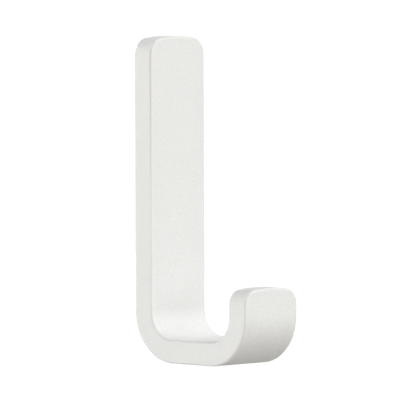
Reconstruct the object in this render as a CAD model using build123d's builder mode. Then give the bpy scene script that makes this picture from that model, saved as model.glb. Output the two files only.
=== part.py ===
from build123d import *
import os

# A one-piece wall hook: a flat bar cast in the shape of a J, a little narrower at the tip,
# crowned and rounded at both ends, and soft on every edge. Two blind threaded holes in its
# back hold it.
# Frame: the wall is the plane y = 0, the hook stands out towards -Y and +Z is up.
# The origin is on the wall, midway between the two fixing holes. Millimetres.

# The bar
bar_width = 20.0                # from side to side, where it lies on the wall
tip_narrowing = 0.8             # the front of the tip is this much narrower
bar_thickness = 6.2             # the same in the plate, the floor and the tip
edge_radius = 0.6               # every edge is softened so that the coating holds

# The bend, seen from the side
hook_height = 85.5              # underside to the middle of the plate's top
projection = 41.0               # wall to the front of the tip
tip_height = 20.7               # underside to the middle of the tip's top
heel_radius = 7.2               # inside of the bend from the plate to the floor
toe_radius = 7.0                # inside of the bend from the floor to the tip

# The two ends, seen from the front
plate_crown_rise = 1.1          # the middle of the end above the ends of its arch
plate_corner_radius = 4.6
tip_crown_rise = 1.1
tip_corner_radius = 4.0
arch_overrun = 0.5              # each arch runs on past the bar's sides, to cut them cleanly

# The fixing: two M4 threads, 32 mm apart
hole_spacing = 32.0             # from centre to centre, one above the other
fixing_height = 54.0            # underside to the middle between the holes
thread_radius = 2.0             # outside of the screw's thread, and wall of the hole
lead_in_clearance = 0.3         # the mouth opens this much wider than the thread
metal_over_hole = 1.6           # left between the bottom of a hole and the plate's front

# Places that follow from the sizes
half_width = bar_width / 2
tip_half_width = half_width - tip_narrowing / 2
arch_reach = half_width + arch_overrun
underside_z = -fixing_height
plate_top_z = underside_z + hook_height
tip_top_z = underside_z + tip_height
tip_back_distance = projection - bar_thickness

with BuildPart() as hook:
    # The bar's side, one thickness inward from the line that the outside of the J follows
    with BuildSketch(Plane.YZ) as side_view:
        with BuildLine() as bar_line:
            FilletPolyline(
                (0, plate_top_z),
                (0, underside_z),
                (-projection, underside_z),
                (-projection, tip_top_z),
                radius=[heel_radius + bar_thickness, toe_radius + bar_thickness],
            )
            offset(amount=bar_thickness, side=Side.RIGHT)
        make_face()
    extrude(amount=half_width, both=True)

    # Seen from above, both sides run in a little from the wall to the tip
    with BuildSketch(Plane.XY.offset(underside_z)) as top_view:
        with BuildLine() as bar_outline:
            right_side = [(half_width, 0), (tip_half_width, -projection)]
            left_side = [(-x, y) for x, y in reversed(right_side)]
            Polyline(*right_side, *left_side, close=True)
        make_face()
    extrude(amount=hook_height, mode=Mode.INTERSECT)

    # Each end is cut to a shallow arch, and the two corners that the cut leaves are rounded:
    # they run through the bar, so they lie between the cut's edges at its front and back
    ends = [
        (0, plate_top_z, plate_crown_rise, plate_corner_radius),
        (tip_back_distance, tip_top_z, tip_crown_rise, tip_corner_radius),
    ]
    for distance, top_z, crown_rise, corner_radius in ends:
        side_z = top_z - crown_rise
        waste_z = top_z + crown_rise
        with BuildSketch(Plane.XZ.offset(distance)) as above_the_arch:
            with BuildLine() as arch_line:
                arch = ThreePointArc((-arch_reach, side_z), (0, top_z), (arch_reach, side_z))
                Polyline(arch @ 1, (arch_reach, waste_z), (-arch_reach, waste_z), arch @ 0)
            make_face()
        extrude(amount=bar_thickness, mode=Mode.SUBTRACT)
        edges_by_depth = hook.edges(Select.LAST).group_by(Axis.Y)
        fillet(edges_by_depth[1], radius=corner_radius)

    # Two soft edges run all round, one outside the J and one inside it. A fillet follows
    # every smooth turn, so each starts from one of the arches on top of the plate.
    top_arches = hook.edges().sort_by(Axis.Z)[-2:]
    fillet(top_arches, radius=edge_radius)

    # The hidden fixing, bored from the wall side and opened at the mouth for the screw
    wall_face = Plane(origin=(0, 0, 0), x_dir=(-1, 0, 0), z_dir=(0, 1, 0))
    with Locations(wall_face):
        with GridLocations(bar_width, hole_spacing, 1, 2):
            CounterSinkHole(
                radius=thread_radius,
                counter_sink_radius=thread_radius + lead_in_clearance,
                depth=bar_thickness - metal_over_hole,
                counter_sink_angle=90,
            )

hook.part.label = "hook"

os.makedirs("parts", exist_ok=True)
export_step(hook.part, "parts/hook.step")
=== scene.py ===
import bpy
import math
from mathutils import Matrix, Vector


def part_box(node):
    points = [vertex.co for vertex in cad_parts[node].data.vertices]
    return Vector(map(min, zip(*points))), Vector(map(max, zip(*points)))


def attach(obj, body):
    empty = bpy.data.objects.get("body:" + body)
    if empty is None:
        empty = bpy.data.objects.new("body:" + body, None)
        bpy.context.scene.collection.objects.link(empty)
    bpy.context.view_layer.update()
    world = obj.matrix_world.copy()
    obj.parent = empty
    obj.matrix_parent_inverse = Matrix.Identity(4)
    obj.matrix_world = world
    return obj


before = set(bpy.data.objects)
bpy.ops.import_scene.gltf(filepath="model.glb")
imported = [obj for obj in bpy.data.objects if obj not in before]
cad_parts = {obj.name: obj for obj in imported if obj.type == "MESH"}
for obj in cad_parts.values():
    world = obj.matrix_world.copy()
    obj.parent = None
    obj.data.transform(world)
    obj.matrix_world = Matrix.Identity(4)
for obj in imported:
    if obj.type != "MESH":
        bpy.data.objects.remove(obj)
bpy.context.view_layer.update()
hookLow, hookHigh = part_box("hook")
mm = 0.001
hookSize = [round((high - low) / mm, 1) for low, high in zip(hookLow, hookHigh)]
print("frame loaded, the hook is", hookSize, "mm")


# Colours are written as sRGB hex and turned linear here
def linearColour(hexColour):
    channels = [int(hexColour[i:i + 2], 16) / 255 for i in (1, 3, 5)]
    return [c / 12.92 if c <= 0.04045 else ((c + 0.055) / 1.055) ** 2.4 for c in channels] + [1.0]


def addNode(tree, kind, settings=None, links=None):
    node = tree.nodes.new(kind)
    for name, value in (settings or {}).items():
        if isinstance(name, int) or name in node.inputs:
            node.inputs[name].default_value = value
        else:
            setattr(node, name, value)
    for name, source in (links or {}).items():
        tree.links.new(source, node.inputs[name])
    return node


def newMaterial(name):
    material = bpy.data.materials.new(name)
    material.use_nodes = True
    material.node_tree.nodes.clear()
    return material, material.node_tree


# From the origin towards azimuth and elevation, where azimuth 0 is straight in front of the hook
def direction(azimuth, elevation):
    a, e = math.radians(azimuth), math.radians(elevation)
    return Vector((math.sin(a) * math.cos(e), -math.cos(a) * math.cos(e), math.sin(e)))


# The camera stands in front of the hook and to its left, a little above it
camera = {
    "azimuth": -44.207,        # degrees from straight in front, towards -X
    "elevation": 3.371,        # degrees above the horizon
    "roll": -0.211,            # degrees
    "distance": 1.9505,        # metres, from the aim point
    "aim": (-0.00035, -0.01486, -0.01137),
    "focalPixels": 7418.0,     # in a picture of this width:
    "pictureWidth": 400,
    "nearest": 0.05,           # it sees from here to there, in metres
    "farthest": 60.0,
}


def makeCamera(c):
    back = direction(c["azimuth"], c["elevation"])
    data = bpy.data.cameras.new("camera")
    data.lens = data.sensor_width * c["focalPixels"] / c["pictureWidth"]
    data.clip_start, data.clip_end = c["nearest"], c["farthest"]
    eye = bpy.data.objects.new("camera", data)
    bpy.context.scene.collection.objects.link(eye)
    roll = Matrix.Rotation(math.radians(c["roll"]), 3, "Z")
    turn = (-back).to_track_quat("-Z", "Y").to_matrix() @ roll
    place = Matrix.Translation(Vector(c["aim"]) + back * c["distance"])
    eye.matrix_world = place @ turn.to_4x4()
    bpy.context.scene.camera = eye


makeCamera(camera)
print("camera placed")

# Large soft lights a long way off, so that they light hook and floor evenly
lamps = [
    {"name": "highRight", "azimuth": 42, "elevation": 50, "strength": 1.34},
    {"name": "right", "azimuth": 48, "elevation": 20, "strength": 1.08},
    {"name": "front", "azimuth": 0, "elevation": 5, "strength": 0.63},
    {"name": "left", "azimuth": -72, "elevation": 5, "strength": 2.42},
    {"name": "backLeft", "azimuth": -144, "elevation": 5, "strength": 1.16},
    {"name": "backRight", "azimuth": 108, "elevation": 20, "strength": 0.90},
    {"name": "back", "azimuth": 168, "elevation": 5, "strength": 1.86},
]
softness = 28                  # degrees across, as each lamp looks from the hook


def makeLamp(lamp):
    data = bpy.data.lights.new(lamp["name"], "SUN")
    data.angle = math.radians(softness)
    data.energy = lamp["strength"]
    shine = bpy.data.objects.new(lamp["name"], data)
    bpy.context.scene.collection.objects.link(shine)
    towards = direction(lamp["azimuth"], lamp["elevation"])
    shine.rotation_mode = "QUATERNION"
    shine.rotation_quaternion = (-towards).to_track_quat("-Z", "Y")
    shine.location = towards


for lamp in lamps:
    makeLamp(lamp)


# The room behind is white to the eye and in reflections, and lights nothing
def makeWorld():
    world = bpy.data.worlds.new("studio")
    world.use_nodes = True
    bpy.context.scene.world = world
    tree = world.node_tree
    tree.nodes.clear()
    path = addNode(tree, "ShaderNodeLightPath")
    straight = addNode(tree, "ShaderNodeMath", {"operation": "MAXIMUM"},
                       {0: path.outputs["Is Camera Ray"], 1: path.outputs["Is Transmission Ray"]})
    seen = addNode(tree, "ShaderNodeMath", {"operation": "MAXIMUM"},
                   {0: straight.outputs[0], 1: path.outputs["Is Glossy Ray"]})
    white = addNode(tree, "ShaderNodeBackground", {"Color": (1, 1, 1, 1)},
                    {"Strength": seen.outputs[0]})
    addNode(tree, "ShaderNodeOutputWorld", {}, {"Surface": white.outputs[0]})


makeWorld()
bpy.context.scene.view_settings.view_transform = "Standard"
print("lamps and room placed")

# The floor lies below the hook, because the hook hangs on a wall and doesn't stand
floor = {
    "drop": 45 * mm,
    "radius": 8.0,             # metres
    "sides": 96,
    "bounce": "#cdcbc6",       # the warm light that it throws back at the hook
    "paper": "#cbcbcb",        # how strongly the hook's shadow shows on it
    "glow": 0.61,              # with the lamps' light on the paper, this comes to white
}


# White studio paper: matt and bright, so that it keeps the hook's soft shadow and no reflection
def makePaper(f):
    material, tree = newMaterial("whitePaperFloor")
    path = addNode(tree, "ShaderNodeLightPath")
    bounce = addNode(tree, "ShaderNodeBsdfDiffuse", {"Color": linearColour(f["bounce"])})
    paper = addNode(tree, "ShaderNodeBsdfDiffuse", {"Color": linearColour(f["paper"])})
    glow = addNode(tree, "ShaderNodeEmission", {"Color": (1, 1, 1, 1), "Strength": f["glow"]})
    both = addNode(tree, "ShaderNodeAddShader", {}, {0: paper.outputs[0], 1: glow.outputs[0]})
    mix = addNode(tree, "ShaderNodeMixShader", {},
                  {0: path.outputs["Is Camera Ray"], 1: bounce.outputs[0], 2: both.outputs[0]})
    addNode(tree, "ShaderNodeOutputMaterial", {}, {"Surface": mix.outputs[0]})
    return material


def makeFloor(f):
    bpy.ops.object.select_all(action="DESELECT")
    bpy.ops.mesh.primitive_circle_add(
        vertices=f["sides"], radius=f["radius"], fill_type="NGON",
        location=(0, 0, hookLow[2] - f["drop"]))
    ground = bpy.context.object
    ground.name = "floor"
    ground.data.materials.append(makePaper(f))


makeFloor(floor)
print("floor placed")

# The hook's coat
coat = {
    "colour": "#ededec",
    "paintedHollowShade": "#eaeae8", # painted shade: the grain's hollows are coloured a little darker
    "hollowShadeLevel": 0.35,       # of the noise, at which the painted shade in a hollow is darkest
    "bumpLevel": 0.65,         # and at which a bump has the full colour, without painted shade
    "roughness": 0.55,
    "grain": 0.45 * mm,        # bump to bump across the bar, coarser than life so that it shows
    "grainSquash": 1.60,       # up the bar the bumps lie this much closer
    "grainHeight": 0.19 * mm,  # higher than life, for the same reason
    "wave": 1.0 * mm,          # the longer waves under the grain
    "waveHeight": 0.04 * mm,
    "pitSpacing": 2.6 * mm,    # pinholes, where the coat gave off gas as it baked
    "pitRadius": 0.16 * mm,
    "pitDepth": 0.03 * mm,
    "edgeTintAndShadeColour": "#c4bbab",   # a warm dark line: partly the coat drawn back from the sharp edges as it baked, partly painted shade along them
    "edgeTopZ": 14 * mm,       # most above this height
    "edgeLowZ": -12 * mm,      # and least below this one
    "edgeTop": 0.58,           # share of the edge's colour there
    "edgeLow": 0.12,
    "edgeTip": 0.38,           # and on the front of the tip
    "tipStartY": -30 * mm,
    "tipFrontY": -38 * mm,
    "bendTopZ": -41 * mm,      # below this the bar turns, and its edges with it
}

# The metal under the coat, which shows where plugs kept the coat out of the holes
zinc = {
    "colour": "#b4b3b0",
    "roughness": 0.38,
    "holeHeight": 16 * mm,     # each hole is this far above or below the middle
    "plugRadius": 2.32 * mm,
    "plugDepth": 5 * mm,
}


# 1 where the wall of a hole shows, and 0 on the coat
def holeMask(tree, place, z):
    folded = addNode(tree, "ShaderNodeVectorMath", {"operation": "ABSOLUTE"},
                     {0: place.outputs["Object"]})
    centred = addNode(tree, "ShaderNodeVectorMath",
                      {"operation": "SUBTRACT", 1: (0, 0, z["holeHeight"])}, {0: folded.outputs[0]})
    flat = addNode(tree, "ShaderNodeVectorMath", {"operation": "MULTIPLY", 1: (1, 0, 1)},
                   {0: centred.outputs[0]})
    away = addNode(tree, "ShaderNodeVectorMath", {"operation": "LENGTH"}, {0: flat.outputs[0]})
    near = addNode(tree, "ShaderNodeMath", {"operation": "LESS_THAN", 1: z["plugRadius"]},
                   {0: away.outputs["Value"]})
    parts = addNode(tree, "ShaderNodeSeparateXYZ", {}, {0: place.outputs["Object"]})
    deep = addNode(tree, "ShaderNodeMath", {"operation": "GREATER_THAN", 1: -z["plugDepth"]},
                   {0: parts.outputs["Y"]})
    return addNode(tree, "ShaderNodeMath", {"operation": "MULTIPLY"},
                   {0: near.outputs[0], 1: deep.outputs[0]})


# How thin the coat is on the long rounded edges, with painted shade there as well: most where the
# normal is halfway round the edge, nothing on the flats, and less and less round the corners of the
# two ends
def edgeTintAndShadeMask(tree, place, c):
    halfway = 16               # the shares multiply to a sixteenth halfway round the edge
    normal = addNode(tree, "ShaderNodeSeparateXYZ", {}, {0: place.outputs["Normal"]})
    parts = addNode(tree, "ShaderNodeSeparateXYZ", {}, {0: place.outputs["Object"]})
    sideways = addNode(tree, "ShaderNodeMath", {"operation": "POWER", 1: 2.0},
                       {0: normal.outputs["X"]})
    forward = addNode(tree, "ShaderNodeMath", {"operation": "POWER", 1: 2.0},
                      {0: normal.outputs["Y"]})
    rest = addNode(tree, "ShaderNodeMath", {"operation": "SUBTRACT", 0: 1.0},
                   {1: sideways.outputs[0]})
    straight = addNode(tree, "ShaderNodeMath", {"operation": "GREATER_THAN", 1: c["bendTopZ"]},
                       {0: parts.outputs["Z"]})
    # The share across the bar's flat, which faces forward above the bend and any way within it
    across = addNode(tree, "ShaderNodeMix", {"data_type": "FLOAT"},
                     {0: straight.outputs[0], 2: rest.outputs[0], 3: forward.outputs[0]})
    against = addNode(tree, "ShaderNodeMath", {"operation": "SUBTRACT", 0: 1.0},
                      {1: across.outputs[0]})
    both = addNode(tree, "ShaderNodeMath", {"operation": "MULTIPLY"},
                   {0: sideways.outputs[0], 1: against.outputs[0]})
    twice = addNode(tree, "ShaderNodeMath", {"operation": "POWER", 1: 2.0}, {0: across.outputs[0]})
    narrow = addNode(tree, "ShaderNodeMath", {"operation": "MULTIPLY"},
                     {0: both.outputs[0], 1: twice.outputs[0]})
    height = addNode(tree, "ShaderNodeMapRange",
                     {"From Min": c["edgeLowZ"], "From Max": c["edgeTopZ"],
                      "To Min": halfway * c["edgeLow"], "To Max": halfway * c["edgeTop"]},
                     {"Value": parts.outputs["Z"]})
    front = addNode(tree, "ShaderNodeMapRange",
                    {"From Min": c["tipStartY"], "From Max": c["tipFrontY"],
                     "To Min": 0.0, "To Max": halfway * c["edgeTip"]},
                    {"Value": parts.outputs["Y"]})
    most = addNode(tree, "ShaderNodeMath", {"operation": "MAXIMUM"},
                   {0: height.outputs[0], 1: front.outputs[0]})
    return addNode(tree, "ShaderNodeMath", {"operation": "MULTIPLY"},
                   {0: narrow.outputs[0], 1: most.outputs[0]})


# The grain's bumps are wider than they are high
def coatGrain(tree, place, c):
    drawn = addNode(tree, "ShaderNodeVectorMath",
                    {"operation": "MULTIPLY", 1: (1, 1, c["grainSquash"])},
                    {0: place.outputs["Object"]})
    return addNode(tree, "ShaderNodeTexNoise", {"Scale": 1 / c["grain"], "Detail": 1.0},
                   {"Vector": drawn.outputs[0]})


# The coat's grain, its longer waves and a few pinholes, each as a height in metres
def coatBump(tree, place, grain, c):
    wave = addNode(tree, "ShaderNodeTexNoise", {"Scale": 1 / c["wave"], "Detail": 1.0},
                   {"Vector": place.outputs["Object"]})
    cells = addNode(tree, "ShaderNodeTexVoronoi", {"Scale": 1 / c["pitSpacing"]},
                    {"Vector": place.outputs["Object"]})
    pits = addNode(tree, "ShaderNodeMapRange",
                   {"From Min": 0.0, "From Max": c["pitRadius"] / c["pitSpacing"],
                    "To Min": -c["pitDepth"], "To Max": 0.0},
                   {"Value": cells.outputs["Distance"]})
    waves = addNode(tree, "ShaderNodeMath", {"operation": "MULTIPLY_ADD", 1: c["waveHeight"]},
                    {0: wave.outputs["Fac"], 2: pits.outputs[0]})
    height = addNode(tree, "ShaderNodeMath", {"operation": "MULTIPLY_ADD", 1: c["grainHeight"]},
                     {0: grain.outputs["Fac"], 2: waves.outputs[0]})
    return addNode(tree, "ShaderNodeBump", {"Strength": 1.0, "Distance": 1.0},
                   {"Height": height.outputs[0]})


# White powder coat, sprayed on a zinc casting and baked: matt, with a fine pebbled skin that breaks
# every highlight up and painted shade in its hollows, and a warm thin line along the edges, partly
# the tint of the thinner coat and partly painted shade
def makePowderCoat(c, z):
    material, tree = newMaterial("whitePowderCoat")
    place = addNode(tree, "ShaderNodeTexCoord")
    edgeTintAndShade = edgeTintAndShadeMask(tree, place, c)
    hole = holeMask(tree, place, z)
    grain = coatGrain(tree, place, c)
    # Painted shade: the grain's hollows take a darker colour, where shade would gather in them
    shade = addNode(tree, "ShaderNodeMapRange",
                    {"From Min": c["hollowShadeLevel"], "From Max": c["bumpLevel"]},
                    {"Value": grain.outputs["Fac"]})
    white = addNode(tree, "ShaderNodeMix",
                    {"data_type": "RGBA", 6: linearColour(c["paintedHollowShade"]),
                     7: linearColour(c["colour"])}, {0: shade.outputs[0]})
    # The edge line: the thinner coat's warm tint, together with painted shade along the rounded
    # edges
    colour = addNode(tree, "ShaderNodeMix", {"data_type": "RGBA", 7: linearColour(c["edgeTintAndShadeColour"])},
                     {0: edgeTintAndShade.outputs[0], 6: white.outputs[2]})
    base = addNode(tree, "ShaderNodeMix", {"data_type": "RGBA", 7: linearColour(z["colour"])},
                   {0: hole.outputs[0], 6: colour.outputs[2]})
    rough = addNode(tree, "ShaderNodeMix",
                    {"data_type": "FLOAT", 2: c["roughness"], 3: z["roughness"]},
                    {0: hole.outputs[0]})
    bump = coatBump(tree, place, grain, c)
    shader = addNode(tree, "ShaderNodeBsdfPrincipled", {},
                     {"Base Color": base.outputs[2], "Metallic": hole.outputs[0],
                      "Roughness": rough.outputs[0], "Normal": bump.outputs[0]})
    addNode(tree, "ShaderNodeOutputMaterial", {}, {"Surface": shader.outputs[0]})
    return material


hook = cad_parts["hook"]
hook.data.materials[0] = makePowderCoat(coat, zinc)
print("hook coated")

# The turns of the M4 thread in each hole, as a ridge on the wall that the CAD leaves plain
thread = {
    "boreRadius": 2.0 * mm,
    "crestRadius": 1.62 * mm,
    "overlap": 0.02 * mm,      # the ridge's foot lies this far in the metal
    "trimAway": 0.03 * mm,     # and is made this much deeper, to be trimmed off cleanly
    "pitch": 0.7 * mm,         # M4's own
    "footWidth": 0.61 * mm,
    "crestWidth": 0.175 * mm,
    "leadIn": 0.3 * mm,        # depth of the cone at the mouth
    "depth": 4.6 * mm,
    "turns": 8,
    "stepsPerTurn": 64,
    "weld": 0.002 * mm,        # points closer than this become one
    "sharpAngle": 30,          # degrees, above which an edge stays sharp
    "holeHeight": 16 * mm,     # the holes are this far above and below the middle
}


# Die-cast zinc, cut by a tap: dull grey, with a soft metal shine on the turns
def makeBareZinc(z):
    material, tree = newMaterial("bareZinc")
    shader = addNode(tree, "ShaderNodeBsdfPrincipled",
                     {"Base Color": linearColour(z["colour"]), "Metallic": 1.0,
                      "Roughness": z["roughness"]})
    addNode(tree, "ShaderNodeOutputMaterial", {}, {"Surface": shader.outputs[0]})
    return material


# The room that the ridge may fill: the hole, less the cone that the mouth's lead-in carries on
def makeThreadRoom(t):
    foot = t["boreRadius"] + t["overlap"]
    top = -t["leadIn"] + t["overlap"]
    bpy.ops.mesh.primitive_cylinder_add(
        vertices=t["stepsPerTurn"], radius=foot, depth=top + t["depth"],
        location=(0, 0, (top - t["depth"]) / 2))
    room = bpy.context.object
    bpy.ops.object.mode_set(mode="EDIT")
    bpy.ops.mesh.select_all(action="DESELECT")
    bpy.ops.object.mode_set(mode="OBJECT")
    # The flat top becomes a cone that points down
    for face in room.data.polygons:
        face.select = face.normal.z > 0.9
    bpy.ops.object.mode_set(mode="EDIT")
    bpy.ops.mesh.poke(offset=-foot)
    bpy.ops.object.mode_set(mode="OBJECT")
    return room


# A plane is shaped to the ridge's section, wound up and trimmed to the room
def makeThread(t, name):
    bpy.ops.object.select_all(action="DESELECT")
    room = makeThreadRoom(t)
    foot = t["boreRadius"] + t["overlap"] + t["trimAway"]
    bpy.ops.object.select_all(action="DESELECT")
    bpy.ops.mesh.primitive_plane_add(size=1)
    ridge = bpy.context.object
    ridge.name = name
    corners = [(foot, -t["footWidth"]), (t["crestRadius"], -t["crestWidth"]),
               (foot, t["footWidth"]), (t["crestRadius"], t["crestWidth"])]
    for vertex, (radius, width) in zip(ridge.data.vertices, corners):
        vertex.co = (radius, 0, width / 2 - t["depth"] - t["pitch"])
    screw = ridge.modifiers.new("turns", "SCREW")
    screw.angle = math.tau * t["turns"]
    screw.screw_offset = t["pitch"] * t["turns"]
    screw.steps = screw.render_steps = t["stepsPerTurn"] * t["turns"]
    bpy.ops.object.modifier_apply(modifier="turns")
    bpy.ops.object.mode_set(mode="EDIT")
    bpy.ops.mesh.select_all(action="SELECT")
    bpy.ops.mesh.fill_holes(sides=0)
    bpy.ops.mesh.select_all(action="SELECT")
    bpy.ops.mesh.normals_make_consistent(inside=False)
    bpy.ops.object.mode_set(mode="OBJECT")
    trim = ridge.modifiers.new("trim", "BOOLEAN")
    trim.operation, trim.object = "INTERSECT", room
    bpy.ops.object.modifier_apply(modifier="trim")
    bpy.data.objects.remove(room)
    bpy.ops.object.mode_set(mode="EDIT")
    bpy.ops.mesh.select_all(action="SELECT")
    bpy.ops.mesh.remove_doubles(threshold=t["weld"])
    bpy.ops.mesh.dissolve_degenerate(threshold=t["weld"])
    bpy.ops.object.mode_set(mode="OBJECT")
    # The hole's axis runs into the wall
    ridge.rotation_euler = (-math.pi / 2, 0, 0)
    ridge.location = (0, 0, t["holeHeight"])
    bpy.ops.object.transform_apply(location=True, rotation=True, scale=True)
    bpy.ops.object.shade_smooth_by_angle(angle=math.radians(t["sharpAngle"]))
    ridge.data.materials.clear()
    ridge.data.materials.append(makeBareZinc(zinc))
    return ridge


# The same ridge again in the other hole, with a mesh of its own
def copyThread(t, first, name):
    bpy.ops.object.select_all(action="DESELECT")
    first.select_set(True)
    bpy.context.view_layer.objects.active = first
    bpy.ops.object.duplicate()
    copy = bpy.context.object
    copy.name = name
    bpy.ops.transform.translate(value=(0, 0, -2 * t["holeHeight"]))
    bpy.ops.object.transform_apply(location=True, rotation=True, scale=True)
    return copy


upperThread = makeThread(thread, "upperThread")
lowerThread = copyThread(thread, upperThread, "lowerThread")
for ridge in (upperThread, lowerThread):
    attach(ridge, "root")
    print(ridge.name, "has", len(ridge.data.polygons), "faces")
